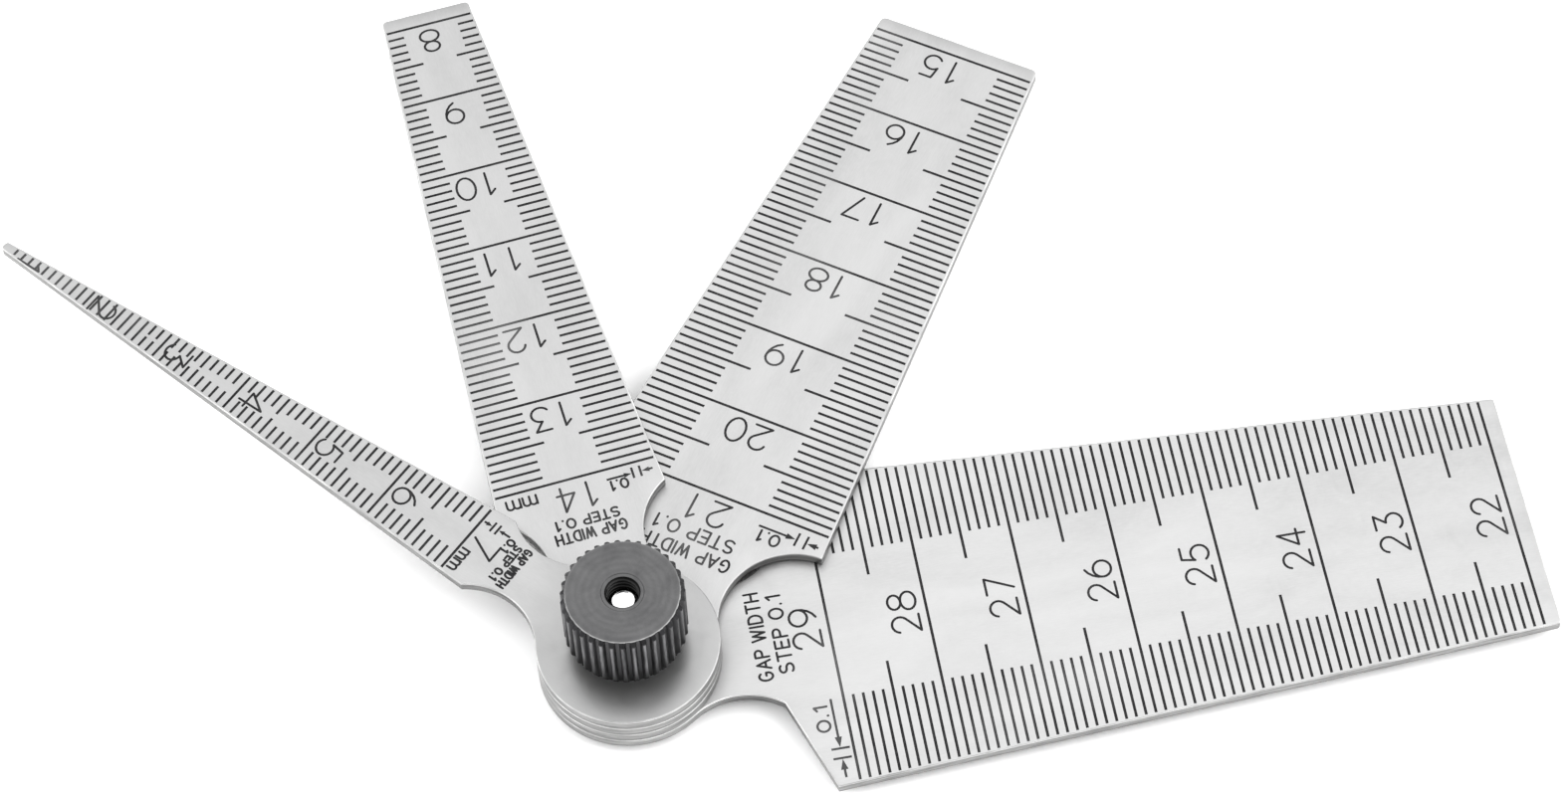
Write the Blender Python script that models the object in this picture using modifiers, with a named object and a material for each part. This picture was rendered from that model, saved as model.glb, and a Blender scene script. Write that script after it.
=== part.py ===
"""Four-leaf taper gap gauge: tapered steel leaves on a pivot stud, held by a knurled lock knob.

A leaf is pushed into a gap, and its width at the gap's edge is the gap's width. The leaves lie flat,
fanned about the stud, the widest at the bottom and the narrowest on top. The knob screws down on a
washer and clamps them.

Frame: metres, +Z up along the stud, origin on the stud's axis at the underside of its flange.
"""
from collections import namedtuple
from math import asin, atan2, ceil, cos, hypot, pi, radians, sin, sqrt

import bmesh
import bpy
from mathutils import Vector

MM = 0.001

# Leaves: all of one thickness, with the same taper, head and neck arcs.
LEAF_THICKNESS = 0.96 * MM
LEAF_GAP = 0.04 * MM        # play between two pieces that lie on each other
TAPER = 8.155               # blade length for each unit of blade width
TIP_LENGTH = 1.4 * MM       # plain end beyond a leaf's first line
HEAD_RADIUS = 7.5 * MM      # round end about the pivot
NECK_RADIUS = 6.1 * MM      # hollow arc on each side, tangent to the head
SHOULDER = 14.6 * MM        # where the widest blade ends, from the pivot
CHAMFER_ANGLE = radians(-51)    # where its straight shoulder meets the neck arc
PIVOT_HOLE_RADIUS = 2.1 * MM

# first, last: widths at the first and last line. last_line: the last line's distance from the pivot.
# neck: half the width of the neck. tip_radius: of the tip's corners. fan: the leaf's direction.
Leaf = namedtuple("Leaf", "name first last last_line neck tip_radius fan")
LEAVES = (
    Leaf("leaf_22_to_29mm", 22 * MM, 29 * MM, 16.4 * MM, 5.00 * MM, 0.25 * MM, radians(7.6)),
    Leaf("leaf_15_to_21mm", 15 * MM, 21 * MM, 16.4 * MM, 4.75 * MM, 0.50 * MM, radians(62.8)),
    Leaf("leaf_8_to_14mm", 8 * MM, 14 * MM, 16.7 * MM, 4.05 * MM, 0.45 * MM, radians(104.2)),
    Leaf("leaf_1_to_7mm", 1 * MM, 7 * MM, 16.6 * MM, 2.40 * MM, 0.30 * MM, radians(141.5)),
)

# Pivot stud: a low flange under the leaves, a plain shank in their holes and an M3 thread above.
FLANGE_RADIUS = 5.0 * MM
FLANGE_THICKNESS = 1.0 * MM
FLANGE_CHAMFER = 0.2 * MM
SHANK_RADIUS = 2.0 * MM
THREAD_CORE_RADIUS = 1.2 * MM   # the thread is left plain, at its root diameter
STUD_END_CHAMFER = 0.3 * MM
STUD_END_DEPTH = 1.3 * MM       # the stud's end below the knob's top face

# Thrust washer
WASHER_OUTER_RADIUS = 3.4 * MM
WASHER_INNER_RADIUS = 1.65 * MM
WASHER_THICKNESS = 0.46 * MM

# Lock knob: a straight-knurled grip on a plain collar, bored through.
KNOB_TOP = 8.0 * MM             # above the top leaf
GRIP_LENGTH = 6.3 * MM
GRIP_RADIUS = 5.0 * MM
GRIP_TOP_CHAMFER = 0.35 * MM
GRIP_BASE_CHAMFER = 0.3 * MM
COLLAR_RADIUS = 3.5 * MM
BORE_RADIUS = 1.35 * MM
BORE_CHAMFER = 0.3 * MM
KNURL_COUNT = 35
KNURL_DEPTH = 0.38 * MM
KNURL_CREST = 0.22              # share of a pitch that the crest takes up
KNURL_FLOOR = 0.34              # share of a pitch that the groove's floor takes up
KNOB_TURN = radians(-1.5)

# Roundness
ARC_STEP = radians(6)
TURNED_STEPS = 64
BLANK_STEPS = 2 * KNURL_COUNT   # one facet under each crest and one under each groove
MERGE = 0.00001
SHARP_ANGLE = radians(25)

LEAF_PITCH = LEAF_THICKNESS + LEAF_GAP
STACK_BASE = FLANGE_THICKNESS + LEAF_GAP
STACK_TOP = FLANGE_THICKNESS + len(LEAVES) * LEAF_PITCH
WASHER_BASE = STACK_TOP + LEAF_GAP
WASHER_TOP = WASHER_BASE + WASHER_THICKNESS
KNOB_END = STACK_TOP + KNOB_TOP


def clear_scene():
    for thing in list(bpy.data.objects):
        bpy.data.objects.remove(thing, do_unlink=True)


def new_collection(name):
    collection = bpy.data.collections.new(name)
    bpy.context.scene.collection.children.link(collection)
    return collection


def new_material(name, colour, roughness, metallic=1.0):
    material = bpy.data.materials.new(name)
    material.use_nodes = True
    shader = material.node_tree.nodes["Principled BSDF"]
    shader.inputs["Base Color"].default_value = (*colour, 1.0)
    shader.inputs["Roughness"].default_value = roughness
    shader.inputs["Metallic"].default_value = metallic
    return material


def evaluated_mesh(thing):
    """The object's mesh with its modifiers in it, and with a curve's loose caps welded on."""
    bpy.context.view_layer.update()
    depsgraph = bpy.context.evaluated_depsgraph_get()
    mesh = bpy.data.meshes.new_from_object(thing.evaluated_get(depsgraph), depsgraph=depsgraph)
    shape = bmesh.new()
    shape.from_mesh(mesh)
    bmesh.ops.remove_doubles(shape, verts=shape.verts, dist=MERGE)
    shape.to_mesh(mesh)
    shape.free()
    return mesh


def as_solid(thing, material, collection):
    """Replace a curve or a modified mesh by a plain mesh object of its name and place."""
    name = thing.name
    mesh = evaluated_mesh(thing)
    mesh.materials.clear()
    mesh.materials.append(material)
    mesh.shade_smooth()
    mesh.set_sharp_from_angle(angle=SHARP_ANGLE)
    place = thing.matrix_world.copy()
    bpy.data.objects.remove(thing, do_unlink=True)
    mesh.name = name
    solid = bpy.data.objects.new(name, mesh)
    solid.matrix_world = place
    collection.objects.link(solid)
    return solid


# Flat outlines

def arc(centre, radius, start, end):
    """Points on a circle from the start angle to the end angle, both included."""
    steps = max(1, ceil(abs(end - start) / ARC_STEP))
    angles = [start + (end - start) * step / steps for step in range(steps + 1)]
    return [centre + Vector((radius * cos(angle), radius * sin(angle))) for angle in angles]


def fillet(before, corner, after, radius):
    """The arc that rounds a corner off, for a path that turns left there."""
    back = (before - corner).normalized()
    ahead = (after - corner).normalized()
    half_angle = back.angle(ahead) / 2
    centre = corner + (back + ahead).normalized() * radius / sin(half_angle)
    first = corner + back * radius / (sin(half_angle) / cos(half_angle)) - centre
    start = atan2(first.y, first.x)
    return arc(centre, radius, start, start + pi - 2 * half_angle)


def half_width(leaf, along):
    """Half the blade's width at a distance from the pivot."""
    return (leaf.last + (leaf.last_line - along) / TAPER) / 2


def blade_meets_arc(leaf, centre):
    """Where the blade's edge runs into the outer side of the neck's arc."""
    slope = -1 / (2 * TAPER)
    drop = half_width(leaf, centre.x) - centre.y
    a, b, c = 1 + slope * slope, slope * drop, drop * drop - NECK_RADIUS * NECK_RADIUS
    along = centre.x + (-b + sqrt(b * b - a * c)) / a
    return Vector((along, half_width(leaf, along)))


def half_outline(leaf):
    """A leaf's left side, from the middle of its tip to the back of its head, along local +X."""
    tip = leaf.last_line + (leaf.last - leaf.first) * TAPER + TIP_LENGTH
    reach = HEAD_RADIUS + NECK_RADIUS
    neck_direction = asin((leaf.neck + NECK_RADIUS) / reach)
    centre = Vector((cos(neck_direction), sin(neck_direction))) * reach
    arc_reach = half_width(leaf, centre.x + NECK_RADIUS)

    if arc_reach < centre.y:
        shoulder = blade_meets_arc(leaf, centre)
        outward = shoulder - centre
        arc_start = atan2(outward.y, outward.x)
    else:
        shoulder = Vector((SHOULDER, half_width(leaf, SHOULDER)))
        arc_start = CHAMFER_ANGLE

    tip_middle = Vector((tip, 0))
    tip_corner = Vector((tip, half_width(leaf, tip)))
    points = fillet(tip_middle, tip_corner, shoulder, leaf.tip_radius)
    if arc_reach >= centre.y:
        points.append(shoulder)
    points += arc(centre, NECK_RADIUS, arc_start, neck_direction - pi)
    points += arc(Vector((0, 0)), HEAD_RADIUS, neck_direction, pi)[1:]
    return points


def whole_outline(leaf):
    left = half_outline(leaf)
    right = [Vector((point.x, -point.y)) for point in reversed(left[:-1])]
    return left + right


def circle(radius):
    return arc(Vector((0, 0)), radius, 0, 2 * pi)[:-1]


def knurl_outline():
    """A grooved round whose crests stand proud of the grip, so the grip's own surface tops them."""
    pitch = 2 * pi / KNURL_COUNT
    flank = (1 - KNURL_CREST - KNURL_FLOOR) / 2
    floor = GRIP_RADIUS - KNURL_DEPTH
    peak = GRIP_RADIUS + KNURL_DEPTH * (KNURL_CREST / 2) / flank
    points = []
    for number in range(KNURL_COUNT):
        crest = (number + 0.25) * pitch
        for share, radius in ((0, peak), (0.5 - KNURL_FLOOR / 2, floor), (0.5 + KNURL_FLOOR / 2, floor)):
            angle = crest + share * pitch
            points.append(Vector((radius * cos(angle), radius * sin(angle))))
    return points


def plate(name, loops, thickness):
    """A flat piece lying from z = 0 to its thickness. Loops after the first are its holes."""
    curve = bpy.data.curves.new(name, "CURVE")
    curve.dimensions = "2D"
    curve.fill_mode = "BOTH"
    curve.extrude = thickness / 2
    for loop in loops:
        spline = curve.splines.new("POLY")
        spline.points.add(len(loop) - 1)
        for point, place in zip(spline.points, loop):
            point.co = (place.x, place.y, 0, 1)
        spline.use_cyclic_u = True
    thing = bpy.data.objects.new(name, curve)
    thing.location.z = thickness / 2
    bpy.context.scene.collection.objects.link(thing)
    return thing


# Turned pieces

def turned(name, profile, steps, ring=False):
    """Spin a profile of (radius, height) pairs, which runs down its outer side."""
    mesh = bpy.data.meshes.new(name)
    edges = [(number, number + 1) for number in range(len(profile) - 1)]
    if ring:
        edges.append((len(profile) - 1, 0))
    mesh.from_pydata([(radius, 0, height) for radius, height in profile], edges, [])
    thing = bpy.data.objects.new(name, mesh)
    bpy.context.scene.collection.objects.link(thing)
    spin = thing.modifiers.new("Spin", "SCREW")
    spin.axis = "Z"
    spin.angle = 2 * pi
    spin.steps = spin.render_steps = steps
    spin.use_merge_vertices = True
    spin.merge_threshold = MERGE
    return thing


def stud_profile():
    end = KNOB_END - STUD_END_DEPTH
    shank_top = STACK_TOP - LEAF_GAP
    return (
        (0, end),
        (THREAD_CORE_RADIUS - STUD_END_CHAMFER, end),
        (THREAD_CORE_RADIUS, end - STUD_END_CHAMFER),
        (THREAD_CORE_RADIUS, shank_top),
        (SHANK_RADIUS, shank_top),
        (SHANK_RADIUS, FLANGE_THICKNESS),
        (FLANGE_RADIUS - FLANGE_CHAMFER, FLANGE_THICKNESS),
        (FLANGE_RADIUS, FLANGE_THICKNESS - FLANGE_CHAMFER),
        (FLANGE_RADIUS, FLANGE_CHAMFER),
        (FLANGE_RADIUS - FLANGE_CHAMFER, 0),
        (0, 0),
    )


def washer_profile():
    return (
        (WASHER_OUTER_RADIUS, WASHER_TOP),
        (WASHER_OUTER_RADIUS, WASHER_BASE),
        (WASHER_INNER_RADIUS, WASHER_BASE),
        (WASHER_INNER_RADIUS, WASHER_TOP),
    )


def knob_profile():
    base = WASHER_TOP + LEAF_GAP
    grip_base = KNOB_END - GRIP_LENGTH
    return (
        (GRIP_RADIUS - GRIP_TOP_CHAMFER, KNOB_END),
        (GRIP_RADIUS, KNOB_END - GRIP_TOP_CHAMFER),
        (GRIP_RADIUS, grip_base + GRIP_BASE_CHAMFER),
        (GRIP_RADIUS - GRIP_BASE_CHAMFER, grip_base),
        (COLLAR_RADIUS, grip_base),
        (COLLAR_RADIUS, base),
        (BORE_RADIUS, base),
        (BORE_RADIUS, KNOB_END - BORE_CHAMFER),
        (BORE_RADIUS + BORE_CHAMFER, KNOB_END),
    )


# The parts

def make_leaf(leaf, level, material, collection):
    thing = plate(leaf.name, (whole_outline(leaf), circle(PIVOT_HOLE_RADIUS)), LEAF_THICKNESS)
    thing.location.z += STACK_BASE + level * LEAF_PITCH
    thing.rotation_euler.z = leaf.fan
    return as_solid(thing, material, collection)


def make_knob(material, collection, cutters):
    """Keep the part of the turned blank that lies within the knurl's outline."""
    blank = turned("lock_knob", knob_profile(), BLANK_STEPS, ring=True)
    outline = plate("knurl", (knurl_outline(),), 2 * KNOB_END)
    knurl = as_solid(outline, material, cutters)
    knurl.hide_render = True
    knurl.display_type = "WIRE"
    cut = blank.modifiers.new("Knurl", "BOOLEAN")
    cut.operation = "INTERSECT"
    cut.solver = "EXACT"
    cut.object = knurl
    blank.rotation_euler.z = knurl.rotation_euler.z = KNOB_TURN
    return as_solid(blank, material, collection)


def main():
    clear_scene()
    gauge = new_collection("taper_gap_gauge")
    cutters = new_collection("cutters")

    leaf_steel = new_material("leaf_steel", (0.78, 0.78, 0.77), 0.38)
    stud_steel = new_material("stud_steel", (0.82, 0.82, 0.82), 0.25)
    washer_steel = new_material("washer_steel", (0.55, 0.55, 0.56), 0.35)
    black_oxide = new_material("black_oxide", (0.07, 0.07, 0.075), 0.45)

    as_solid(turned("pivot_stud", stud_profile(), TURNED_STEPS), stud_steel, gauge)
    for level, leaf in enumerate(LEAVES):
        make_leaf(leaf, level, leaf_steel, gauge)
    as_solid(turned("thrust_washer", washer_profile(), TURNED_STEPS, ring=True), washer_steel, gauge)
    make_knob(black_oxide, gauge, cutters)


main()
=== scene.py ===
"""The looks of the taper gap gauge: four engraved steel leaves, their stud, washer and knurled lock knob.

Each CAD solid is replaced by a finer mesh of the same size, built here from the same few dimensions and
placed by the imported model. Shapes are drawn in millimetres and made in metres.
"""
from collections import namedtuple
from math import asin, atan2, ceil, cos, pi, radians, sin, sqrt, tan

import bmesh
import bpy
from mathutils import Matrix, Vector
from mathutils.geometry import delaunay_2d_cdt


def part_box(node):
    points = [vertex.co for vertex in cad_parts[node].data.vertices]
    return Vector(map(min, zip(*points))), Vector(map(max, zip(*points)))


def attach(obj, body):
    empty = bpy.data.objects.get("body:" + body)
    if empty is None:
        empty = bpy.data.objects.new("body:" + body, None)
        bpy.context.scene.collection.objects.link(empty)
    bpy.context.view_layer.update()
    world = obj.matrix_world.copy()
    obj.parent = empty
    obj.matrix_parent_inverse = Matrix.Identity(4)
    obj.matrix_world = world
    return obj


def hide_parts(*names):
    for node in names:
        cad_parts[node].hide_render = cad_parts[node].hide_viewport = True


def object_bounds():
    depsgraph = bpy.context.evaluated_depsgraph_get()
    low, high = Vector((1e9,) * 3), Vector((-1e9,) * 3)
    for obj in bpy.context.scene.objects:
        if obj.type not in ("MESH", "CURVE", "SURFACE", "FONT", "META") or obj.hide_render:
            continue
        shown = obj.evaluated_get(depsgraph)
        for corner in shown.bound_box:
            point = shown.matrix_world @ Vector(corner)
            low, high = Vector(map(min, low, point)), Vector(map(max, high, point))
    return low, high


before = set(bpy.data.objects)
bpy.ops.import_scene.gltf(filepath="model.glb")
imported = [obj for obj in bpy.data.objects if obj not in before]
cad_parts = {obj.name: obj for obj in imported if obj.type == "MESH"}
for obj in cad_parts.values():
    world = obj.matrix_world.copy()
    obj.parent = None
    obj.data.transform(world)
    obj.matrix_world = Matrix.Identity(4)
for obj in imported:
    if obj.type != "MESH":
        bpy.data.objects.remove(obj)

MM = 0.001
CAD_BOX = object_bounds()
MERGE = 0.00001 * MM

# Leaves, as in the CAD model
TAPER = 8.155               # blade length for each unit of blade width
TIP_LENGTH = 1.4            # plain end beyond a leaf's first line
HEAD_RADIUS = 7.5
NECK_RADIUS = 6.1
SHOULDER = 14.6             # where the widest blade ends, from the pivot
CHAMFER_ANGLE = radians(-51)
PIVOT_HOLE_RADIUS = 2.1
ARC_STEP = radians(2.5)
TIP_BAND = 0.5              # a leaf's farthest points lie within this of its tip
EDGE_RADIUS = 0.09          # every edge is broken a little
EDGE_STEPS = (0, 30, 60, 90)    # degrees round an edge

# Engraving
MARK_DEPTH = 0.04
LINE_WIDTH = 0.235
LINE_MARGIN = 0.2           # from a line's end to the blade's edge
LINES_PER_MM = 10
NUMERAL_HEIGHT = 2.32
NUMERAL_PITCH = 2.15
NUMERAL_STROKE = 0.21
TEXT_STROKE = 0.20
LETTER_GAP = 0.26           # of the letters' height
BOW_STEP = 18               # degrees
CAP_STEPS = 4
CDT_NEAR = 0.0001
FACE_SLOT, EDGE_SLOT, MARK_SLOT, RIM_SLOT = range(4)

# first, last: the blade's width at its first and last line. last_line: the last line's distance from the
# pivot. neck: half the neck's width. blank, half_blank: half the width that the short and the middle lines
# leave clear, at the first and at the last line. lift: from a line to the foot of its numeral. aside: how far
# the numerals stand off the middle, at the first and at the last line.
Leaf = namedtuple("Leaf", "name body first last last_line neck tip_radius blank half_blank lift aside")
LEAVES = (
    Leaf("leaf_22_to_29mm", "widest_leaf", 22, 29, 16.4, 5.00, 0.25, (6.65, 6.6), (4.1, 4.1),
         0.76, (-0.13, 0.05)),
    Leaf("leaf_15_to_21mm", "wide_leaf", 15, 21, 16.4, 4.75, 0.50, (4.5, 4.5), (2.5, 2.5),
         0.65, (0.25, 0.0)),
    Leaf("leaf_8_to_14mm", "narrow_leaf", 8, 14, 16.7, 4.05, 0.45, (2.45, 2.5), (1.5, 1.5),
         0.67, (0.28, 0.05)),
    Leaf("leaf_1_to_7mm", "narrowest_leaf", 1, 7, 16.6, 2.40, 0.30, (-0.43, 1.43), (-0.22, 0.62),
         0.55, (0.15, -0.15)),
)

# Words on a leaf: where they start across it, their foot's distance from the pivot, height and width.
Words = namedtuple("Words", "text start foot height width")
WORDS = {
    "leaf_22_to_29mm": (
        Words("GAP WIDTH", -4.08, 11.16, 1.12, 8.16), Words("STEP 0.1", -3.65, 12.94, 1.14, 7.30),
        Words("0.1", -9.56, 14.90, 1.04, 2.36), Words("mm", 9.20, 15.60, 0.95, 2.80),
    ),
    "leaf_15_to_21mm": (
        Words("GAP WIDTH", -3.97, 11.00, 1.14, 7.94), Words("STEP 0.1", -3.55, 12.84, 1.18, 7.10),
        Words("0.1", -6.74, 14.80, 1.04, 1.84), Words("mm", 5.60, 15.40, 0.90, 2.70),
    ),
    "leaf_8_to_14mm": (
        Words("GAP WIDTH", -2.97, 11.74, 0.94, 5.94), Words("STEP 0.1", -2.67, 13.00, 0.86, 5.34),
        Words("0.1", -4.14, 15.44, 0.88, 1.44), Words("mm", 3.50, 16.10, 0.84, 2.54),
    ),
    "leaf_1_to_7mm": (
        Words("GAP WIDTH", -2.00, 11.94, 0.68, 4.00), Words("STEP 0.1", -1.80, 12.84, 0.64, 3.60),
        Words("0.1", -2.00, 13.66, 0.66, 1.20), Words("mm", 0.86, 16.30, 0.74, 2.10),
    ),
}

# The sign beside "0.1": two short bars one step apart, with an arrow pointing at each from outside.
# lengthwise: whether the arrows run along the leaf. place: of the arrows' line. tails: their outer ends.
Sign = namedtuple("Sign", "lengthwise place bars bar_ends tails head_length head_width")
SIGNS = {
    "leaf_22_to_29mm": Sign(False, 15.34, (-12.14, -11.26), (14.60, 16.10), (-13.90, -6.70), 0.95, 0.60),
    "leaf_15_to_21mm": Sign(False, 15.12, (-8.80, -8.00), (14.50, 15.80), (-9.95, -4.56), 0.85, 0.56),
    "leaf_8_to_14mm": Sign(False, 15.70, (-5.40, -4.74), (15.20, 16.25), (-6.45, -2.50), 0.65, 0.46),
    "leaf_1_to_7mm": Sign(True, -2.12, (14.96, 15.46), (-2.60, -1.62), (13.70, 16.35), 0.52, 0.42),
}

# Pivot stud, washer and knob, as in the CAD model
FLANGE_RADIUS = 5.0
FLANGE_THICKNESS = 1.0
FLANGE_CHAMFER = 0.2
SHANK_RADIUS = 2.0
STUD_FACE_RADIUS = 0.9
STUD_FACE_RINGS = (0, 0.3, 0.6, STUD_FACE_RADIUS)
WASHER_OUTER_RADIUS = 3.4
WASHER_INNER_RADIUS = 1.65
GRIP_LENGTH = 6.3
GRIP_RADIUS = 5.0
GRIP_TOP_CHAMFER = 0.35
GRIP_BASE_CHAMFER = 0.3
FOOT_BAND = 0.35            # below the ridges' lower ends
COLLAR_RADIUS = 3.5
SINK_RADIUS = 1.45          # the knob's bore at its upper end
FOOT_SINK_RADIUS = 1.60     # and at its lower end
RECESS_RADIUS = 1.76        # a shallow recess round its upper end
RECESS_DEPTH = 0.06
KNURL_COUNT = 35
KNURL_DEPTH = 0.38
KNURL_STEPS = 12
KNURL_PHASE = 0.25          # of a pitch, from the knob's own +X to a ridge
RIDGE_CREST = 0.11          # half the ridge's top, of a pitch
RIDGE_FLANK = 0.22          # of a pitch
TOP_SLOT = 1                # of the stud's end and the knob's top, on which the turning shows
KNOB_TURN = radians(-1.5)
GRIP_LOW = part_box("lock_knob")[1][2] / MM - GRIP_LENGTH
SMALL_EDGE = 0.05

# The M3 thread: cut in the knob and, a little smaller, on the stud, in step with each other
THREAD_PITCH = 0.5
THREAD_STEPS = 8
STUD_THREAD = (1.20, 1.47)  # root and crest radius
KNOB_THREAD = (1.27, 1.56)
CREST_SHARE = 0.2
ROOT_SHARE = 0.25
BORE_STEPS = 84
TURNED_STEPS = 144
SHARP_ANGLE = radians(35)

# Camera: the place it stands in millimetres
CAMERA_PLACE = (13.55, -181.55, 332.06)
CAMERA_ELEVATION = radians(58.06)
CAMERA_ROLL = radians(-2.83)
CAMERA_LENS = 106.31
CAMERA_CLIP = 0.01          # metres

# Floor: its size and its distance under the gauge in metres
FLOOR_SIZE = 3
FLOOR_GAP = 0.00001

# Lights: sizes and places in metres. The floor has two more of its own, which keep the ground white.
SKY_RADIANCE = 0.7
Lamp = namedtuple("Lamp", "name place width height radiance")
LAMPS = (
    Lamp("softbox_behind", (0.15, 0.55, 0.8), 1.4, 0.9, 0.3),
    Lamp("softbox_above", (0.15, 0.2, 1.0), 1.4, 1.0, 1.0),
    Lamp("softbox_left", (-0.9, 0, 0.7), 1.3, 0.9, 1.1),
    Lamp("softbox_right", (0.9, 0, 0.7), 1.3, 0.9, 1.3),
)
FLOOR_LAMPS = (
    Lamp("floor_light_left", (-0.9, 0, 0.8), 1.3, 0.9, 2.5),
    Lamp("floor_light_right", (0.9, 0, 0.8), 1.3, 0.9, 2.5),
)


# Flat outlines

def arc(centre, radius, start, end):
    """Points on a circle from the start angle to the end angle, both included."""
    steps = max(1, ceil(abs(end - start) / ARC_STEP))
    angles = [start + (end - start) * step / steps for step in range(steps + 1)]
    return [centre + Vector((radius * cos(angle), radius * sin(angle))) for angle in angles]


def fillet(before, corner, after, radius):
    """The arc that rounds a corner off, for a path that turns left there."""
    back = (before - corner).normalized()
    ahead = (after - corner).normalized()
    half_angle = back.angle(ahead) / 2
    centre = corner + (back + ahead).normalized() * radius / sin(half_angle)
    first = corner + back * radius / tan(half_angle) - centre
    start = atan2(first.y, first.x)
    return arc(centre, radius, start, start + pi - 2 * half_angle)


def half_width(leaf, along):
    """Half the blade's width at a distance from the pivot."""
    return (leaf.last + (leaf.last_line - along) / TAPER) / 2


def line_place(leaf, width):
    """How far from the pivot the blade has that width."""
    return leaf.last_line + (leaf.last - width) * TAPER


def blade_meets_arc(leaf, centre):
    """Where the blade's edge runs into the outer side of the neck's arc."""
    slope = -1 / (2 * TAPER)
    drop = half_width(leaf, centre.x) - centre.y
    a, b, c = 1 + slope * slope, slope * drop, drop * drop - NECK_RADIUS * NECK_RADIUS
    along = centre.x + (-b + sqrt(b * b - a * c)) / a
    return Vector((along, half_width(leaf, along)))


def half_outline(leaf):
    """A leaf's left side, from the middle of its tip to the back of its head, along local +X."""
    tip = line_place(leaf, leaf.first) + TIP_LENGTH
    reach = HEAD_RADIUS + NECK_RADIUS
    neck_direction = asin((leaf.neck + NECK_RADIUS) / reach)
    centre = Vector((cos(neck_direction), sin(neck_direction))) * reach
    shoulder = Vector((SHOULDER, half_width(leaf, SHOULDER)))
    arc_start = CHAMFER_ANGLE
    chamfered = half_width(leaf, centre.x + NECK_RADIUS) >= centre.y
    if not chamfered:
        shoulder = blade_meets_arc(leaf, centre)
        outward = shoulder - centre
        arc_start = atan2(outward.y, outward.x)

    points = fillet(Vector((tip, 0)), Vector((tip, half_width(leaf, tip))), shoulder, leaf.tip_radius)
    if chamfered:
        points.append(shoulder)
    points += arc(centre, NECK_RADIUS, arc_start, neck_direction - pi)
    points += arc(Vector((0, 0)), HEAD_RADIUS, neck_direction, pi)[1:]
    return points


def whole_outline(leaf):
    left = half_outline(leaf)
    right = [Vector((point.x, -point.y)) for point in reversed(left[:-1])]
    return left + right


def inset(loop, distance):
    """A loop moved to the left of its path: inwards where it runs anticlockwise."""
    moved = []
    for before, here, after in zip([loop[-1]] + loop, loop, loop[1:] + [loop[0]]):
        one = (here - before).normalized()
        two = (after - here).normalized()
        normals = Vector((-one.y - two.y, one.x + two.x))
        moved.append(here + normals * distance / (1 + one.dot(two)))
    return moved


# Lettering: single strokes in a box one unit high. Each glyph has its width and its strokes.

def bow(x, y, across, up, start, end):
    """Points on an ellipse's arc round (x, y), between two angles in degrees."""
    steps = ceil(abs(end - start) / BOW_STEP)
    angles = [radians(start + (end - start) * step / steps) for step in range(steps + 1)]
    return [(x + across * cos(angle), y + up * sin(angle)) for angle in angles]


def loop(x, y, across, up):
    return [bow(x, y, across, up, 0, 180), bow(x, y, across, up, 180, 360)]


def lines(*points):
    """Straight strokes from each point to the next."""
    return [list(pair) for pair in zip(points, points[1:])]


def turned_over(width, strokes):
    return width, [[(width - x, 1 - y) for x, y in stroke] for stroke in strokes]


SIX = 0.66, loop(0.33, 0.32, 0.33, 0.32) + [bow(0.64, 0.32, 0.64, 0.68, 180, 114)]
GLYPHS = {
    "0": (0.70, loop(0.35, 0.5, 0.35, 0.5)),
    "1": (0.38, lines((0.08, 0.80), (0.30, 1), (0.30, 0))),
    "2": (0.66, [bow(0.33, 0.70, 0.31, 0.30, 168, -46) + [(0, 0)]] + lines((0, 0), (0.66, 0))),
    "3": (0.64, lines((0.03, 1), (0.60, 1), (0.29, 0.60)) + [bow(0.30, 0.30, 0.33, 0.30, 92, -150)]),
    "4": (0.64, lines((0.46, 0), (0.46, 1), (0, 0.30), (0.64, 0.30))),
    "5": (0.62, lines((0.58, 1), (0.12, 1), (0.04, 0.53)) + [bow(0.29, 0.32, 0.33, 0.32, 140, -145)]),
    "6": SIX,
    "7": (0.66, lines((0, 1), (0.66, 1), (0.18, 0))),
    "8": (0.72, loop(0.36, 0.77, 0.29, 0.23) + loop(0.36, 0.27, 0.36, 0.27)),
    "9": turned_over(*SIX),
    ".": (0.06, [[(0.03, 0), (0.03, 0.04)]]),
    " ": (0.20, []),
    "A": (0.66, lines((0, 0), (0.33, 1), (0.66, 0)) + [[(0.12, 0.36), (0.54, 0.36)]]),
    "D": (0.62, [[(0, 0), (0, 1)], [(0, 1)] + bow(0.24, 0.5, 0.38, 0.5, 90, -90) + [(0, 0)]]),
    "E": (0.52, lines((0.52, 1), (0, 1), (0, 0), (0.52, 0)) + [[(0, 0.52), (0.44, 0.52)]]),
    "G": (0.66, [bow(0.33, 0.5, 0.33, 0.5, 48, 330)] + lines((0.616, 0.25), (0.616, 0.46), (0.38, 0.46))),
    "H": (0.60, [[(0, 0), (0, 1)], [(0.60, 0), (0.60, 1)], [(0, 0.5), (0.60, 0.5)]]),
    "I": (0.06, [[(0.03, 0), (0.03, 1)]]),
    "P": (0.56, [[(0, 0), (0, 1)], [(0, 1)] + bow(0.30, 0.745, 0.26, 0.255, 90, -90) + [(0, 0.49)]]),
    "S": (0.60, [bow(0.30, 0.755, 0.27, 0.245, 38, 270) + bow(0.30, 0.255, 0.30, 0.255, 72, -145)]),
    "T": (0.60, [[(0.30, 0), (0.30, 1)], [(0, 1), (0.60, 1)]]),
    "W": (0.84, lines((0, 1), (0.20, 0), (0.42, 0.90), (0.64, 0), (0.84, 1))),
    "m": (1.12, [[(0, 0), (0, 1)], bow(0.28, 0.70, 0.28, 0.30, 180, 0) + [(0.56, 0)],
                 bow(0.84, 0.70, 0.28, 0.30, 180, 0) + [(1.12, 0)]]),
}


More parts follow.
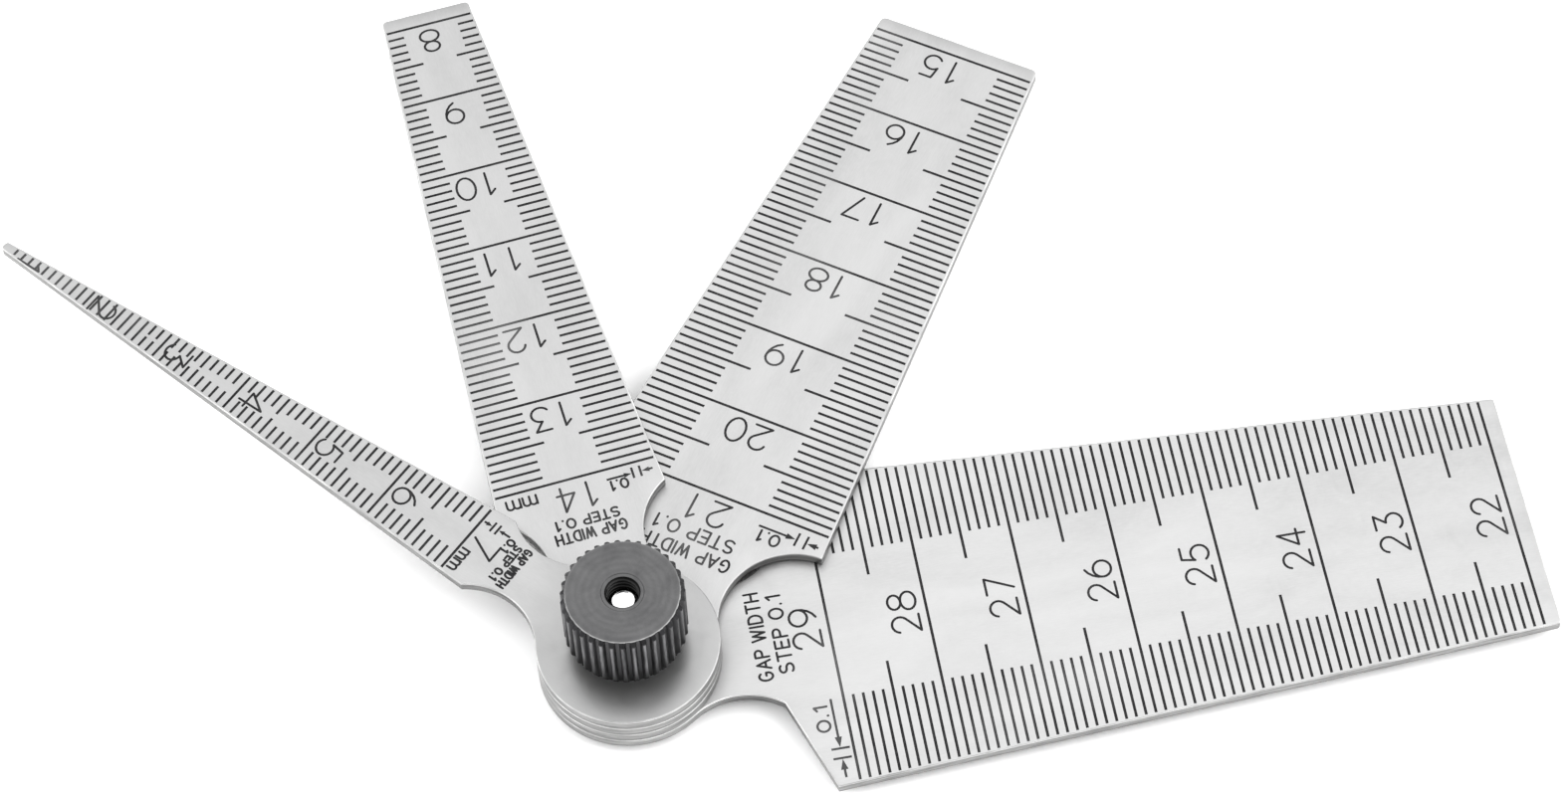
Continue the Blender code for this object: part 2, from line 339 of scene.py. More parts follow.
def stroke(points, width):
    """The outline of a smooth line of that width with round ends, anticlockwise."""
    reach = width / 2
    steps = [(after - before).normalized() for before, after in zip(points, points[1:])]
    sides = []
    for here, one, two in zip(points, steps[:1] + steps, steps + steps[-1:]):
        sides.append((here, Vector((-one.y - two.y, one.x + two.x)) * reach / (1 + one.dot(two))))
    left = [here + side for here, side in sides]
    right = [here - side for here, side in sides]
    return right + cap(points[-1], steps[-1], reach) + left[::-1] + cap(points[0], -steps[0], reach)


def cap(end, ahead, reach):
    """The points of a round end, between its two corners."""
    side = Vector((-ahead.y, ahead.x))
    angles = [pi * step / CAP_STEPS - pi / 2 for step in range(1, CAP_STEPS)]
    return [end + (ahead * cos(angle) + side * sin(angle)) * reach for angle in angles]


def glyph_marks(glyph, start, foot, height, stretch, width):
    """A glyph's strokes on a leaf: it is read with the pivot at the top."""
    marks = []
    for points in glyph[1]:
        placed = [Vector((foot - y * height, start + x * height * stretch)) for x, y in points]
        marks.append(stroke(placed, width))
    return marks


def word_marks(words):
    """Words fitted to their width."""
    glyphs = [GLYPHS[letter] for letter in words.text]
    natural = sum(glyph[0] for glyph in glyphs) + LETTER_GAP * (len(glyphs) - 1)
    stretch = words.width / (natural * words.height)
    marks, start = [], words.start
    for glyph in glyphs:
        marks += glyph_marks(glyph, start, words.foot, words.height, stretch, TEXT_STROKE)
        start += (glyph[0] + LETTER_GAP) * words.height * stretch
    return marks


def numeral_marks(number, line, lift, aside):
    """A line's numeral, about the middle of the leaf and above the line."""
    digits = str(number)
    marks = []
    for place, digit in enumerate(digits):
        glyph = GLYPHS[digit]
        middle = aside + (place - (len(digits) - 1) / 2) * NUMERAL_PITCH
        start = middle - glyph[0] * NUMERAL_HEIGHT / 2
        marks += glyph_marks(glyph, start, line - lift, NUMERAL_HEIGHT, 1, NUMERAL_STROKE)
    return marks


def bar(along, low, high, width):
    """A line across a leaf."""
    return box_outline(along - width / 2, low, along + width / 2, high)


def box_outline(left, low, right, high):
    return [Vector(corner) for corner in ((left, low), (right, low), (right, high), (left, high))]


def sign_marks(sign):
    """Two bars and the arrows that point at them, drawn along the arrows and then turned into place."""
    reach = TEXT_STROKE / 2
    marks = []
    for place, tail in zip(sign.bars, sign.tails):
        way = 1 if tail > place else -1
        neck = place + way * (reach + sign.head_length)
        low, high = sorted((neck - way * reach, tail))
        marks.append(box_outline(place - reach, sign.bar_ends[0], place + reach, sign.bar_ends[1]))
        marks.append(box_outline(low, sign.place - reach, high, sign.place + reach))
        marks.append([Vector((place + way * reach, sign.place)),
                      Vector((neck, sign.place - sign.head_width / 2)),
                      Vector((neck, sign.place + sign.head_width / 2))])
    if sign.lengthwise:
        return marks
    return [[point.yx for point in mark] for mark in marks]


def spread(leaf, width, ends):
    """A value between the ones at the leaf's first and last line."""
    return ends[0] + (ends[1] - ends[0]) * (width - leaf.first) / (leaf.last - leaf.first)


def scale_marks(leaf):
    """The scale: full lines at whole millimetres of width, and short ones on both sides between them."""
    marks = []
    for step in range((leaf.last - leaf.first) * LINES_PER_MM + 1):
        width = leaf.first + step / LINES_PER_MM
        line = line_place(leaf, width)
        edge = half_width(leaf, line) - LINE_MARGIN
        if step % LINES_PER_MM == 0:
            marks.append(bar(line, -edge, edge, LINE_WIDTH))
            marks += numeral_marks(round(width), line, leaf.lift, spread(leaf, width, leaf.aside))
            continue
        middle = step % LINES_PER_MM == LINES_PER_MM // 2
        blank = spread(leaf, width, leaf.half_blank if middle else leaf.blank)
        if blank > LINE_WIDTH / 2:
            marks += [bar(line, blank, edge, LINE_WIDTH), bar(line, -edge, -blank, LINE_WIDTH)]
        else:
            marks.append(bar(line, -edge, edge, LINE_WIDTH))
    return marks


def leaf_marks(leaf):
    marks = scale_marks(leaf) + sign_marks(SIGNS[leaf.name])
    for words in WORDS[leaf.name]:
        marks += word_marks(words)
    return marks


# Leaves

def anticlockwise(outline):
    area = sum(here.cross(after) for here, after in zip(outline, outline[1:] + outline[:1]))
    return outline if area > 0 else outline[::-1]


def ring_faces(shape, lower, upper, slot):
    """The quads between two rings of one loop; they face to the right of its path."""
    for number, here in enumerate(lower):
        before = number - 1
        face = shape.faces.new((lower[before], here, upper[number], upper[before]))
        face.smooth = True
        face.material_index = slot


def edge_rings(thickness):
    """(inset, height) of each ring up a leaf's side, with both its edges rounded."""
    turns = [radians(step) for step in EDGE_STEPS]
    rounding = [(EDGE_RADIUS * (1 - cos(turn)), EDGE_RADIUS * (1 - sin(turn))) for turn in turns]
    lower = [(inwards, up) for inwards, up in reversed(rounding)]
    upper = [(inwards, thickness - down) for inwards, down in rounding]
    return lower + upper


def cover(shape, rings, marks, facing):
    """Fill between the outer ring and the hole's, sinking the marks into the face."""
    border = [vertex for ring in rings for vertex in ring]
    outlines = [[vertex.co.xy for vertex in ring] for ring in rings] + marks
    points, areas = [], []
    for outline in outlines:
        first = len(points)
        points += outline
        area = range(first, first + len(outline))
        areas.append(list(area) if anticlockwise(outline) is outline else list(area)[::-1])
    spots, _, triangles, sources, _, inside = delaunay_2d_cdt(points, [], areas, 1, CDT_NEAR)

    level = border[0].co.z
    surface, sunk = {}, {}
    for number, origins in enumerate(sources):
        known = [source for source in origins if source < len(border)]
        if known:
            surface[number] = border[known[0]]

    def vertex_at(number, table, height):
        if number not in table:
            table[number] = shape.verts.new((*spots[number], height))
        return table[number]

    sides = {}
    for triangle, within in zip(triangles, inside):
        if 0 not in within or 1 in within:
            continue
        engraved = max(within) > 1
        table, height = (sunk, level - MARK_DEPTH) if engraved else (surface, level)
        corners = [vertex_at(number, table, height) for number in triangle]
        face = shape.faces.new(corners if facing > 0 else corners[::-1])
        face.material_index = MARK_SLOT if engraved else FACE_SLOT
        for edge in zip(triangle, triangle[1:] + triangle[:1]):
            sides[edge] = engraved
    for (start, end), engraved in sides.items():
        if engraved and sides.get((end, start)) is False:
            face = shape.faces.new((surface[start], surface[end], sunk[end], sunk[start]))
            face.material_index = MARK_SLOT


def leaf_shape(leaf, thickness):
    """A leaf's mesh along local +X, lying on z = 0."""
    shape = bmesh.new()
    hole = arc(Vector((0, 0)), PIVOT_HOLE_RADIUS, 2 * pi, 0)[:-1]
    bottoms, tops = [], []
    for path in (whole_outline(leaf), hole):
        rings = [[shape.verts.new((*point, height)) for point in inset(path, inwards)]
                 for inwards, height in edge_rings(thickness)]
        for number, (lower, upper) in enumerate(zip(rings, rings[1:])):
            ring_faces(shape, lower, upper, EDGE_SLOT if number < len(EDGE_STEPS) else RIM_SLOT)
        bottoms.append(rings[0])
        tops.append(rings[-1])
    cover(shape, tops, [anticlockwise(mark) for mark in leaf_marks(leaf)], 1)
    cover(shape, bottoms, [], -1)
    return shape


def pointing(name):
    """The direction of a leaf from the pivot: midway between the corners of its tip."""
    points = [vertex.co.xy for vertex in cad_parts[name].data.vertices]
    reach = max(point.length for point in points) - TIP_BAND * MM
    corners = [atan2(point.y, point.x) for point in points if point.length > reach]
    return (min(corners) + max(corners)) / 2


def make_leaf(leaf, materials):
    low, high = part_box(leaf.name)
    shape = leaf_shape(leaf, (high[2] - low[2]) / MM)
    bmesh.ops.rotate(shape, verts=shape.verts, matrix=Matrix.Rotation(pointing(leaf.name), 3, "Z"))
    bmesh.ops.translate(shape, verts=shape.verts, vec=(0, 0, low[2] / MM))
    piece = add_piece(leaf.name + "_engraved", shape, materials)
    dress(piece, leaf.body, leaf.name)


# Objects

def add_piece(name, shape, materials):
    """An object of a bmesh drawn in millimetres."""
    bmesh.ops.remove_doubles(shape, verts=shape.verts, dist=MERGE / MM)
    bmesh.ops.scale(shape, verts=shape.verts, vec=(MM, MM, MM))
    mesh = bpy.data.meshes.new(name)
    shape.to_mesh(mesh)
    shape.free()
    mesh.set_sharp_from_angle(angle=SHARP_ANGLE)
    for material in materials:
        mesh.materials.append(material)
    piece = bpy.data.objects.new(name, mesh)
    bpy.context.scene.collection.objects.link(piece)
    return piece


def dress(piece, body, node):
    """Let a piece stand for its CAD solid."""
    bpy.context.view_layer.update()
    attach(piece, body)
    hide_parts(node)


# Turned pieces

def ring(radius, height, steps=TURNED_STEPS):
    """A level ring of points, its first one repeated at the end."""
    angles = [2 * pi * step / steps for step in range(steps + 1)]
    return [(radius * cos(angle), radius * sin(angle), height) for angle in angles]


def skin(shape, rows, slot=0):
    """Faces between rows of points that run down a piece's outer side. A row may have a multiple of the
    points of the next or the last."""
    rows = [[shape.verts.new(point) for point in row] for row in rows]
    for upper, lower in zip(rows, rows[1:]):
        steps = min(len(upper), len(lower)) - 1
        above, below = (len(upper) - 1) // steps, (len(lower) - 1) // steps
        for step in range(steps):
            corners = upper[step * above:(step + 1) * above + 1][::-1]
            corners += lower[step * below:(step + 1) * below + 1]
            face = shape.faces.new(corners)
            face.smooth = True
            face.material_index = slot


def thread_radius(radii, turns):
    """The thread's radius where it has gone that many turns: root, flank, crest, flank."""
    root, crest = radii
    flank = (1 - CREST_SHARE - ROOT_SHARE) / 2
    from_crest = abs(turns % 1 - 0.5)
    rise = (0.5 - ROOT_SHARE / 2 - from_crest) / flank
    return root + (crest - root) * min(1, max(0, rise))


def thread_rows(radii, high, low, limit):
    """Rows of points that run down a right-hand thread. limit(height, radius) cuts it at its ends."""
    rows = []
    for count in range(ceil((high - low) / THREAD_PITCH + 1) * THREAD_STEPS + 1):
        row = []
        for step in range(BORE_STEPS + 1):
            share = step / BORE_STEPS
            height = high + THREAD_PITCH * (share - count / THREAD_STEPS)
            height = min(high, max(low, height))
            radius = limit(height, thread_radius(radii, height / THREAD_PITCH - share))
            row.append((radius * cos(2 * pi * share), radius * sin(2 * pi * share), height))
        rows.append(row)
    return rows


def make_stud(materials):
    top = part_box("pivot_stud")[1][2] / MM
    shank_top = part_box(LEAVES[-1].name)[1][2] / MM - SMALL_EDGE

    def limit(height, radius):
        return min(radius, STUD_FACE_RADIUS + top - height)

    shape = bmesh.new()
    skin(shape, [ring(radius, top, BORE_STEPS) for radius in STUD_FACE_RINGS], TOP_SLOT)
    skin(shape, thread_rows(STUD_THREAD, top, shank_top, limit))
    outer = [
        (SHANK_RADIUS - SMALL_EDGE, shank_top),
        (SHANK_RADIUS, shank_top - SMALL_EDGE),
        (SHANK_RADIUS, FLANGE_THICKNESS),
        (FLANGE_RADIUS - FLANGE_CHAMFER, FLANGE_THICKNESS),
        (FLANGE_RADIUS, FLANGE_THICKNESS - FLANGE_CHAMFER),
        (FLANGE_RADIUS, FLANGE_CHAMFER),
        (FLANGE_RADIUS - FLANGE_CHAMFER, 0),
        (0, 0),
    ]
    rim = thread_rows(STUD_THREAD, top, shank_top, limit)[-1]
    skin(shape, [rim, ring(SHANK_RADIUS - SMALL_EDGE, shank_top, BORE_STEPS)])
    skin(shape, [ring(radius, height, BORE_STEPS) for radius, height in outer])
    piece = add_piece("pivot_stud_turned", shape, materials)
    dress(piece, "pivot", "pivot_stud")


def make_washer(material):
    low, high = (corner[2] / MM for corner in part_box("thrust_washer"))
    profile = [
        (WASHER_INNER_RADIUS, high - SMALL_EDGE),
        (WASHER_INNER_RADIUS + SMALL_EDGE, high),
        (WASHER_OUTER_RADIUS - SMALL_EDGE, high),
        (WASHER_OUTER_RADIUS, high - SMALL_EDGE),
        (WASHER_OUTER_RADIUS, low + SMALL_EDGE),
        (WASHER_OUTER_RADIUS - SMALL_EDGE, low),
        (WASHER_INNER_RADIUS + SMALL_EDGE, low),
        (WASHER_INNER_RADIUS, low + SMALL_EDGE),
    ]
    shape = bmesh.new()
    skin(shape, [ring(radius, height) for radius, height in profile + profile[:1]])
    piece = add_piece("thrust_washer_turned", shape, [material])
    dress(piece, "washer", "thrust_washer")


def knurl_radius(share):
    """The grip's radius at a share of the pitch from a ridge's middle, from -0.5 to 0.5."""
    fall = min(1, max(0, (abs(share) - RIDGE_CREST) / RIDGE_FLANK))
    return GRIP_RADIUS - KNURL_DEPTH * (1 - cos(pi * fall)) / 2


def knurl_ring(widest, height, slope=0):
    """A ring round the ridged grip, cut back to a cone: widest is its radius there, and a slope of 1 or -1
    lets the ridges that stand proud of it run up or down its 45 degree chamfer."""
    points = []
    steps = KNURL_COUNT * KNURL_STEPS
    for step in range(steps + 1):
        share = (step + KNURL_STEPS / 2) % KNURL_STEPS / KNURL_STEPS - 0.5
        angle = KNOB_TURN + 2 * pi * (step / steps + KNURL_PHASE / KNURL_COUNT)
        radius = knurl_radius(share)
        proud = max(0, radius - widest)
        if not slope:
            radius -= proud
        points.append((radius * cos(angle), radius * sin(angle), height + slope * proud))
    return points


def make_knob(materials):
    low, high = (corner[2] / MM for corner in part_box("lock_knob"))
    steps = KNURL_COUNT * KNURL_STEPS
    top_edge = GRIP_RADIUS - GRIP_TOP_CHAMFER
    base_edge = GRIP_RADIUS - GRIP_BASE_CHAMFER
    bore_top = high - RECESS_DEPTH

    def limit(height, radius):
        return max(radius, SINK_RADIUS - (bore_top - height), FOOT_SINK_RADIUS - (height - low))

    shape = bmesh.new()
    recess = [ring(radius, bore_top, BORE_STEPS) for radius in (SINK_RADIUS, RECESS_RADIUS - RECESS_DEPTH)]
    skin(shape, recess + [ring(RECESS_RADIUS, high, steps), knurl_ring(top_edge, high)], TOP_SLOT)
    skin(shape, [knurl_ring(top_edge, high), knurl_ring(top_edge, high, -1),
                 knurl_ring(base_edge, GRIP_LOW + FOOT_BAND, 1),
                 knurl_ring(base_edge, GRIP_LOW + FOOT_BAND), knurl_ring(base_edge, GRIP_LOW)])
    skin(shape, [knurl_ring(base_edge, GRIP_LOW), ring(COLLAR_RADIUS, GRIP_LOW, BORE_STEPS),
                 ring(COLLAR_RADIUS, low + SMALL_EDGE, BORE_STEPS),
                 ring(COLLAR_RADIUS - SMALL_EDGE, low, BORE_STEPS), ring(FOOT_SINK_RADIUS, low, BORE_STEPS)])
    skin(shape, thread_rows(KNOB_THREAD, bore_top, low, limit)[::-1])
    piece = add_piece("lock_knob_knurled", shape, materials)
    dress(piece, "knob", "lock_knob")


# Materials

class Shader:
    """A Principled material whose inputs can be driven by noise in the object's own space, turned about Z."""

    def __init__(self, name, colour, roughness, metallic, turn=0):
        self.material = bpy.data.materials.new(name)
        self.material.use_nodes = True
        self.tree = self.material.node_tree
        self.surface = self.tree.nodes["Principled BSDF"]
        self.surface.inputs["Base Color"].default_value = (*colour, 1)
        self.surface.inputs["Roughness"].default_value = roughness
        self.surface.inputs["Metallic"].default_value = metallic
        turned = self.add("ShaderNodeMapping")
        turned.inputs["Rotation"].default_value = (0, 0, -turn)
        self.link(self.add("ShaderNodeTexCoord").outputs["Object"], turned.inputs["Vector"])
        self.place = turned.outputs["Vector"]

    def add(self, kind, **settings):
        node = self.tree.nodes.new(kind)
        for name, value in settings.items():
            setattr(node, name, value)
        return node

    def link(self, source, target):
        self.tree.links.new(source, target)

    def stretched(self, scale, shift=(0, 0, 0)):
        """Object coordinates in millimetres, multiplied along each axis."""
        mapping = self.add("ShaderNodeMapping")
        mapping.inputs["Location"].default_value = shift
        mapping.inputs["Scale"].default_value = [part / MM for part in scale]
        self.link(self.place, mapping.inputs["Vector"])
        return mapping.outputs["Vector"]

    def noise(self, scale, detail=2, roughness=0.5, distortion=0, shift=(0, 0, 0)):
        """Noise whose features are about 1 / scale millimetres along each axis."""
        node = self.add("ShaderNodeTexNoise")
        node.inputs["Scale"].default_value = 1
        node.inputs["Detail"].default_value = detail
        node.inputs["Roughness"].default_value = roughness
        node.inputs["Distortion"].default_value = distortion
        self.link(self.stretched(scale, shift), node.inputs["Vector"])
        return node.outputs["Fac"]

    def between(self, value, low, high, start=0.3, end=0.7):
        """value from start to end, spread from low to high."""
        node = self.add("ShaderNodeMapRange")
        for name, number in (("From Min", start), ("From Max", end), ("To Min", low), ("To Max", high)):
            node.inputs[name].default_value = number
        self.link(value, node.inputs["Value"])
        return node.outputs["Result"]

    def blend(self, factor, one, two):
        """A mix of two colours, either of which may be another node's output."""
        node = self.add("ShaderNodeMix", data_type="RGBA")
        self.link(factor, node.inputs["Factor"])
        for name, colour in (("A", one), ("B", two)):
            socket = next(s for s in node.inputs if s.name == name and s.type == "RGBA")
            if isinstance(colour, tuple):
                socket.default_value = (*colour, 1)
            else:
                self.link(colour, socket)
        return next(s for s in node.outputs if s.type == "RGBA")

    def both(self, operation, one, two):
        node = self.add("ShaderNodeMath", operation=operation)
        self.link(one, node.inputs[0])
        self.link(two, node.inputs[1])
        return node.outputs["Value"]

    def product(self, one, two):
        return self.both("MULTIPLY", one, two)

    def sum(self, one, two):
        return self.both("ADD", one, two)

    def along(self, x, y, z):
        """How far a point lies along a direction, in millimetres."""
        node = self.add("ShaderNodeVectorMath", operation="DOT_PRODUCT")
        node.inputs[1].default_value = (x, y, z)
        self.link(self.stretched((1, 1, 1)), node.inputs[0])
        return node.outputs["Value"]

    def radius(self):
        """Distance from the object's Z axis in millimetres."""
        node = self.add("ShaderNodeVectorMath", operation="LENGTH")
        self.link(self.stretched((1, 1, 0)), node.inputs[0])
        return node.outputs["Value"]

    def bump(self, height, strength, distance, under=None):
        node = self.add("ShaderNodeBump")
        node.inputs["Strength"].default_value = strength
        node.inputs["Distance"].default_value = distance * MM
        self.link(height, node.inputs["Height"])
        if under:
            self.link(under, node.inputs["Normal"])
        return node.outputs["Normal"]

    def rings(self, per_mm):
        """Fine turned rings round the object's Z axis."""
        node = self.add("ShaderNodeTexWave", wave_type="RINGS", rings_direction="Z")
        node.inputs["Scale"].default_value = per_mm
        node.inputs["Distortion"].default_value = 1.5
        node.inputs["Detail"].default_value = 2
        self.link(self.stretched((1, 1, 1)), node.inputs["Vector"])
        return node.outputs["Fac"]

    def drive(self, **sockets):
        for name, value in sockets.items():
            self.link(value, self.surface.inputs[name.replace("_", " ")])


def grey(value):
    return value, value, value


def leaf_steel(number, turn):
    """Fine satin stainless steel, clouded and smeared by handling, smoother round the knob, and darkened
    there by painted shade.
    Each leaf has its own pattern, and the higher ones are a little darker."""
    shader = Shader(f"leaf_steel_{number}", grey(0.55), 0.48, 1, turn)
    shift = (37.0 * number, 11.0 * number, 5.0 * number)
    cloud = shader.noise((0.45, 0.45, 0.45), detail=5, roughness=0.65, distortion=0.6, shift=shift)
    smear = shader.noise((0.07, 0.25, 0.2), detail=3, distortion=0.4, shift=shift)
    brushed = shader.noise((1.1, 9, 9), detail=3, shift=shift)
    grain = shader.noise((2.2, 22, 22), detail=3, shift=shift)
    tone = 1 - 0.035 * number
    clouded = shader.blend(shader.between(cloud, 0, 1), grey(0.45 * tone), grey(0.545 * tone))
    streaked = shader.blend(shader.between(brushed, 0, 0.24), clouded, grey(0.35 * tone))
    worn = shader.blend(shader.between(smear, 0, 0.5), streaked, grey(0.60 * tone))
    # painted shade: the base colour is darkened round the head, next to the knob; the same mask also makes
    # the steel smoother there
    handled_and_shaded = shader.between(shader.radius(), 1, 0, HEAD_RADIUS - 1.5, HEAD_RADIUS + 2)
    shaded_round_head = shader.blend(shader.product(handled_and_shaded, shader.between(cloud, 0.62, 0.8)), worn, grey(0.31))
    rough = shader.sum(shader.between(cloud, 0.43, 0.53), shader.between(handled_and_shaded, 0, -0.14, 0, 1))
    shader.drive(Base_Color=shaded_round_head, Roughness=rough, Metallic=shader.between(handled_and_shaded, 1, 0.75, 0, 1),
                 Normal=shader.bump(grain, 0.25, 0.006))
    return shader.material


def edge_steel(number, base):
    """A leaf's cut edge: duller, with fine lines along it, painted shade along its foot, and painted shade in
    the
    hollows of the neck. base: its foot's height."""
    shader = Shader(f"leaf_edge_steel_{number}", grey(0.44), 0.45, 1)
    streak = shader.noise((0.25, 0.25, 4), detail=4, roughness=0.7, shift=(0, 0, 3.0 * number))
    patch = shader.noise((0.5, 0.5, 0.5), detail=3, shift=(7.0 * number, 0, 0))
    shade = shader.blend(shader.between(streak, 0, 1), grey(0.12), (0.41, 0.41, 0.405))
    # painted shade: darker along the wall's foot, where the leaf meets the one below
    foot = shader.between(shader.along(0, 0, 1), 1, 0, base + 0.04, base + 0.24)
    seam_shade = shader.product(foot, shader.between(patch, 0.35, 1))
    # painted shade: the walls in the hollows of the neck are darkened
    past_head = shader.between(shader.radius(), 0, 1, HEAD_RADIUS + 0.3, HEAD_RADIUS + 1.5)
    before_blade = shader.between(shader.radius(), 1, 0, SHOULDER - 0.6, SHOULDER + 2.4)
    hollow = shader.product(past_head, before_blade)
    shaded_in_neck = shader.blend(shader.product(hollow, shader.between(streak, 0.75, 0.1)), shade, grey(0.05))
    shader.drive(Base_Color=shader.blend(seam_shade, shaded_in_neck, grey(0.07)),
                 Roughness=shader.between(streak, 0.36, 0.55), Normal=shader.bump(streak, 0.5, 0.02))
    return shader.material


def rim_steel():
    """The broken edges round the leaves' faces, rubbed bright."""
    shader = Shader("leaf_rim_steel", grey(0.72), 0.3, 1)
    patch = shader.noise((0.2, 0.2, 0.2), detail=5, roughness=0.65)
    grain = shader.noise((14, 14, 14), detail=2)
    shade = shader.blend(shader.between(patch, 0, 1), grey(0.32), (0.78, 0.78, 0.775))
    shader.drive(Base_Color=shade, Roughness=shader.between(patch, 0.36, 0.24),
                 Normal=shader.bump(grain, 0.2, 0.006))
    return shader.material


def mark_fill():
    """Black filling in the engraved marks, rubbed thin in places."""
    shader = Shader("mark_fill", grey(0.02), 0.6, 0)
    shader.surface.inputs["Specular IOR Level"].default_value = 0.2
    speck = shader.noise((1.5, 1.5, 1.5), detail=4, roughness=0.7)
    wear = shader.noise((0.09, 0.09, 0.09), detail=3)
    grain = shader.noise((12, 12, 12))
    black = shader.blend(shader.between(speck, 0, 1, 0.4, 0.8), (0.012, 0.012, 0.013), grey(0.04))
    rubbed = shader.blend(shader.between(wear, 0, 0.7, 0.55, 0.75), black, grey(0.16))
    shader.drive(Base_Color=rubbed, Normal=shader.bump(grain, 0.4, 0.01))
    return shader.material


def black_oxide():
    """Blackened steel on the knob's ridges, collar and thread. The ridges' tops are rubbed bright, fading out
    towards the foot as painted shade; the bore is darkened by painted shade, with a painted highlight on the
    thread's crests, and the grip's foot is darkened by painted shade.
    """
    shader = Shader("black_oxide", (0.05, 0.05, 0.052), 0.4, 1)
    wear = shader.noise((0.9, 0.9, 0.5), detail=4, roughness=0.65)
    grain = shader.noise((14, 14, 14), detail=3)
    black = shader.blend(shader.between(wear, 0, 1), (0.027, 0.027, 0.029), (0.052, 0.052, 0.054))
    # painted shade in the bore, with a painted highlight on the thread's crests
    inside = shader.between(shader.radius(), 1, 0, RECESS_RADIUS, RECESS_RADIUS + 0.5)
    thread_crest_highlight = shader.between(shader.radius(), 1, 0, KNOB_THREAD[0] + 0.03, KNOB_THREAD[0] + 0.12)
    bore_shade_and_highlight = shader.blend(thread_crest_highlight, grey(0.008), grey(0.035))
    black = shader.blend(inside, black, bore_shade_and_highlight)
    height = shader.along(0, 0, 1)
    # painted shade: the grip's foot is darkened almost to black
    foot = shader.between(height, 1, 0, GRIP_LOW + 0.4, GRIP_LOW + 1.6)
    black = shader.blend(shader.product(foot, shader.between(wear, 0.8, 1)), black, grey(0.004))
    proud = shader.between(shader.radius(), 0, 1, GRIP_RADIUS - 0.17, GRIP_RADIUS - 0.02)
    patch = shader.noise((1.6, 1.6, 0.14), detail=5, roughness=0.75)
    chamfer_foot = GRIP_LOW + GRIP_LENGTH - GRIP_TOP_CHAMFER
    below_chamfer = shader.between(height, 1, 0, chamfer_foot - 0.1, chamfer_foot + 0.05)
    # painted shade: the rubbed tops fade out towards the foot
    above_base = shader.between(height, 0, 1, GRIP_LOW + 0.6, GRIP_LOW + 2.4)
    rubbed = shader.product(shader.product(proud, shader.between(patch, 0, 1, 0.38, 0.62)),
                            shader.product(below_chamfer, above_base))
    shader.drive(Base_Color=shader.blend(rubbed, black, (0.2, 0.2, 0.205)),
                 Roughness=shader.between(wear, 0.34, 0.5), Normal=shader.bump(grain, 0.3, 0.01))
    return shader.material


def turned_black():
    """The knob's faced top: blackened over fine turned rings, with a painted highlight on its rim, strongest
    at the front.
    """
    shader = Shader("turned_black_oxide", grey(0.13), 0.45, 1)
    cloud = shader.noise((0.5, 0.5, 0.5), detail=5, roughness=0.65, distortion=0.5)
    grain = shader.noise((9, 9, 9), detail=3)
    rings = shader.rings(0.55)
    # painted highlight: the rim is lightened, most on the front (-Y) side
    lit_front_side = shader.between(shader.along(0.1, -1, 0), 0.1, 1, -1.5, 2.5)
    shade = shader.blend(shader.between(cloud, 0, 1), (0.088, 0.088, 0.090), (0.152, 0.152, 0.154))
    ringed = shader.blend(shader.between(rings, 0, 0.14, 0, 1), shade, grey(0.05))
    top_edge = GRIP_RADIUS - GRIP_TOP_CHAMFER
    rim = shader.between(shader.radius(), 0, 1, top_edge - 0.14, top_edge - 0.04)
    rubbed = shader.product(shader.product(rim, lit_front_side), shader.between(cloud, 0.4, 1))
    rough = shader.bump(grain, 0.3, 0.01)
    shader.drive(Base_Color=shader.blend(rubbed, ringed, grey(0.5)),
                 Roughness=shader.between(cloud, 0.38, 0.5),
                 Normal=shader.bump(rings, 0.35, 0.012, under=rough))
    return shader.material


def turned_steel(name, colour, roughness):
    """Turned bright steel."""
    shader = Shader(name, colour, roughness, 1)
    cloud = shader.noise((0.6, 0.6, 0.6), detail=3)
    dull = tuple(part * 0.88 for part in colour)
    shader.drive(Base_Color=shader.blend(shader.between(cloud, 0, 1), dull, colour),
                 Roughness=shader.between(cloud, roughness - 0.04, roughness + 0.06),
                 Normal=shader.bump(shader.rings(1.6), 0.25, 0.006))
    return shader.material


# Surroundings

def make_floor():
    bpy.ops.mesh.primitive_plane_add(size=FLOOR_SIZE, location=(0, 0, CAD_BOX[0][2] - FLOOR_GAP))
    ground = bpy.context.object
    ground.name = "floor"
    shader = Shader("floor_pale", grey(0.96), 0.7, 0)
    ground.data.materials.append(shader.material)
    return ground


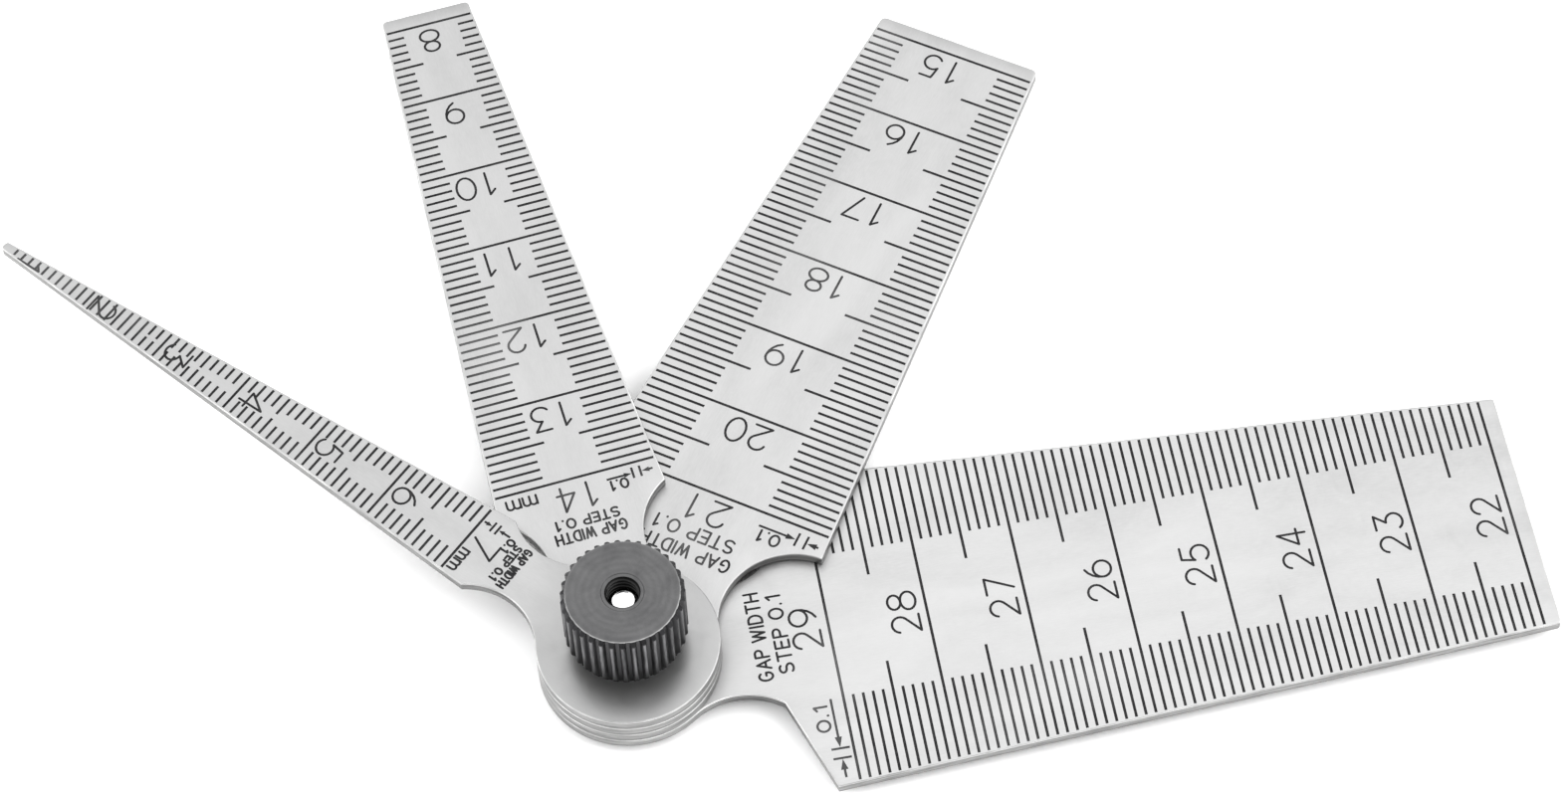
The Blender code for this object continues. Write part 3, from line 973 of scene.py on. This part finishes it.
def make_light(lamp, only=None):
    """A soft rectangular light, facing the pivot. only: the one thing that it lights, if not everything."""
    data = bpy.data.lights.new(lamp.name, "AREA")
    data.shape = "RECTANGLE"
    data.size, data.size_y = lamp.width, lamp.height
    data.energy = lamp.radiance * pi * lamp.width * lamp.height
    light = bpy.data.objects.new(lamp.name, data)
    light.location = lamp.place
    light.rotation_euler = (-Vector(lamp.place)).to_track_quat("-Z", "Y").to_euler()
    bpy.context.scene.collection.objects.link(light)
    if only:
        lit = bpy.data.collections.new(lamp.name + "_lights")
        lit.objects.link(only)
        light.light_linking.receiver_collection = lit


def make_world():
    world = bpy.data.worlds.new("studio")
    world.use_nodes = True
    sky = world.node_tree.nodes["Background"]
    sky.inputs["Color"].default_value = (1, 1, 1, 1)
    sky.inputs["Strength"].default_value = SKY_RADIANCE
    bpy.context.scene.world = world


def make_camera():
    data = bpy.data.cameras.new("camera")
    data.lens = CAMERA_LENS
    data.clip_start = CAMERA_CLIP
    camera = bpy.data.objects.new("camera", data)
    turn = Matrix.Rotation(pi / 2 - CAMERA_ELEVATION, 4, "X") @ Matrix.Rotation(CAMERA_ROLL, 4, "Z")
    camera.matrix_world = Matrix.Translation(Vector(CAMERA_PLACE) * MM) @ turn
    bpy.context.scene.collection.objects.link(camera)
    bpy.context.scene.camera = camera


def main():
    marks, rim = mark_fill(), rim_steel()
    for number, leaf in enumerate(LEAVES):
        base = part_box(leaf.name)[0][2] / MM
        make_leaf(leaf, (leaf_steel(number, pointing(leaf.name)), edge_steel(number, base), marks, rim))
    make_stud((turned_steel("stud_steel", grey(0.6), 0.25), turned_steel("stud_end_steel", grey(0.8), 0.12)))
    make_washer(turned_steel("washer_steel", (0.45, 0.45, 0.46), 0.3))
    make_knob((black_oxide(), turned_black()))

    ground = make_floor()
    make_world()
    for lamp in LAMPS:
        make_light(lamp)
    for lamp in FLOOR_LAMPS:
        make_light(lamp, ground)
    make_camera()
    bpy.context.scene.view_settings.view_transform = "Standard"


main()
